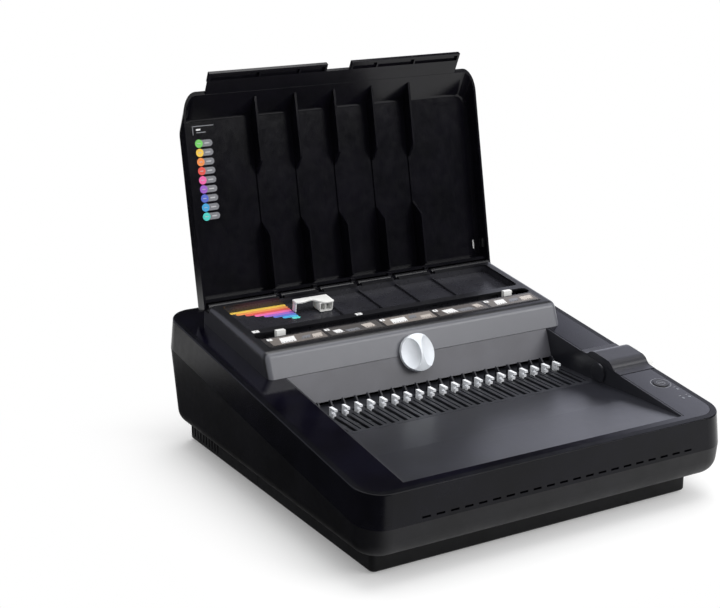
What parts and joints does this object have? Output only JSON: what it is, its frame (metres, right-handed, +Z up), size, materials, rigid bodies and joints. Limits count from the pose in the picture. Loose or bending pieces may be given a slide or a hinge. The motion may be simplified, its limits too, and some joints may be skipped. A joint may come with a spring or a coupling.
{
  "type": "comb binding machine",
  "caption": "Electric comb binding machine with a sloping deck, punch block with paper slot, hook row, side lever, chip drawer and a hinged lid standing open.",
  "frame": {"origin": "middle of the base's footprint, on the table, at the underside of the middle foot", "axes": "+X to the machine's right, +Y to its back, +Z up"},
  "size_m": [0.4424, 0.4287, 0.3978],
  "materials": {
    "casing_black": "gloss",
    "base_black": "matte",
    "tray_grey": "satin",
    "fascia_grey": "satin",
    "lid_black": "gloss",
    "silver_plastic": "satin",
    "white_plastic": "satin",
    "bright_steel": "polished",
    "plain_steel": "satin",
    "strip_print": "satin",
    "lens_grey": "gloss",
    "board_green": "satin",
    "motor_steel": "satin",
    "bronze": "satin",
    "gear_plastic": "satin",
    "rubber_black": "matte"
  },
  "bodies": {
    "machine": {"base_pan": "base_black", "base_plug": "base_black", "rubber_feet": "rubber_black", "upper_casing": "casing_black", "lower_casing": "casing_black", "top_frame": "casing_black", "indicator_lenses": "lens_grey", "control_board": "board_green", "lever_cover": "casing_black", "work_tray": "tray_grey", "lever_boss": "casing_black", "comb_plate": "tray_grey", "lower_fascia": "fascia_grey", "block_cover": "casing_black", "hinge_pin": "bright_steel", "guide_strip": "strip_print", "storage_tray": "base_black", "guide_bar": "plain_steel", "lever_bush": "bronze", "carriage_rods": "bright_steel", "rail_posts": "plain_steel", "left_side_plate": "plain_steel", "right_side_plate": "plain_steel", "front_die_plate": "plain_steel", "rear_guide_plate": "plain_steel", "depth_stop": "plain_steel", "plate_screws": "plain_steel", "shaft_bushes": "bronze", "bar_guide_pins": "bright_steel", "motor_bracket": "plain_steel", "motor": "motor_steel", "power_board": "board_green", "power_inlet": "base_black", "switch_housing": "base_black"},
    "lid": {"lid_shell": "lid_black", "lid_dividers": "lid_black"},
    "knob": {"adjuster_knob": "silver_plastic", "knob_shaft": "bright_steel", "guide_pinion": "gear_plastic"},
    "left_guide": {"left_guide_rack": "white_plastic", "left_edge_guide": "white_plastic"},
    "right_guide": {"right_guide_rack": "white_plastic", "right_edge_guide": "white_plastic"},
    "lever": {"comb_lever": "white_plastic", "lever_grip": "white_plastic", "lever_shaft": "bright_steel", "lever_sector": "plain_steel"},
    "hook_slide": {"hook_carriage": "plain_steel", "comb_hooks": "bright_steel", "hook_rack": "plain_steel"},
    "button": {"punch_button": "silver_plastic"},
    "gauge": {"thickness_gauge": "white_plastic"},
    "drawer": {"chip_drawer": "base_black"},
    "rocker": {"power_switch": "base_black"},
    "cam_shaft": {"eccentric_shaft": "plain_steel", "drive_gear": "plain_steel"},
    "punch_bar": {"pressure_bar": "plain_steel", "punch_pins": "bright_steel", "cam_yokes": "plain_steel"},
    "motor_rotor": {"motor_pinion": "plain_steel"}
  },
  "joints": [
    {"name": "lid_hinge", "type": "hinge", "parent": "machine", "child": "lid", "pos_m": [0, 0.149, 0.15752], "axis": [1, 0, 0], "range_deg": [0, 108.6]},
    {"name": "knob_turn", "type": "hinge", "parent": "machine", "child": "knob", "pos_m": [-0.009, 0.01133, 0.11997], "axis": [0, -0.91, 0.4147], "range_deg": [-36.4, 142]},
    {"name": "left_guide_slide", "type": "slide", "parent": "machine", "child": "left_guide", "axis": [1, 0, 0], "range_m": [-0.009, 0.0348]},
    {"name": "right_guide_slide", "type": "slide", "parent": "machine", "child": "right_guide", "axis": [-1, 0, 0], "range_m": [-0.009, 0.0348]},
    {"name": "lever_turn", "type": "hinge", "parent": "machine", "child": "lever", "pos_m": [0, -0.079, 0.096], "axis": [-1, 0, 0], "range_deg": [0, 75]},
    {"name": "hook_slide", "type": "slide", "parent": "machine", "child": "hook_slide", "axis": [0, -1, 0], "range_m": [0, 0.0341]},
    {"name": "button_press", "type": "slide", "parent": "machine", "child": "button", "axis": [0, 0.1359, -0.9907], "range_m": [0, 0.0015], "stiffness_N_per_m": 300},
    {"name": "gauge_slide", "type": "slide", "parent": "machine", "child": "gauge", "axis": [1, 0, 0], "range_m": [-0.072, 0]},
    {"name": "drawer_slide", "type": "slide", "parent": "machine", "child": "drawer", "axis": [-1, 0, 0], "range_m": [0, 0.28]},
    {"name": "switch_rock", "type": "hinge", "parent": "machine", "child": "rocker", "pos_m": [-0.074, 0.1935, 0.074], "axis": [1, 0, 0], "range_deg": [0, 16]},
    {"name": "cam_turn", "type": "hinge", "parent": "machine", "child": "cam_shaft", "pos_m": [0, 0.112, 0.09], "axis": [1, 0, 0], "range_deg": [0, 180]},
    {"name": "punch_stroke", "type": "slide", "parent": "machine", "child": "punch_bar", "axis": [0, -1, 0], "range_m": [0, 0.01]},
    {"name": "motor_turn", "type": "hinge", "parent": "machine", "child": "motor_rotor", "pos_m": [0, 0.15072, 0.05997], "axis": [1, 0, 0], "range_deg": [-450, 0]}
  ],
  "couplings": [
    {"joint": "left_guide_slide", "follows": "knob_turn", "m_per_rad": 0.014},
    {"joint": "right_guide_slide", "follows": "knob_turn", "m_per_rad": 0.014},
    {"joint": "hook_slide", "follows": "lever_turn", "m_per_rad": 0.026},
    {"joint": "punch_stroke", "follows": "cam_turn", "m_per_rad": 0.003183},
    {"joint": "motor_turn", "follows": "cam_turn", "ratio": -2.5}
  ]
}
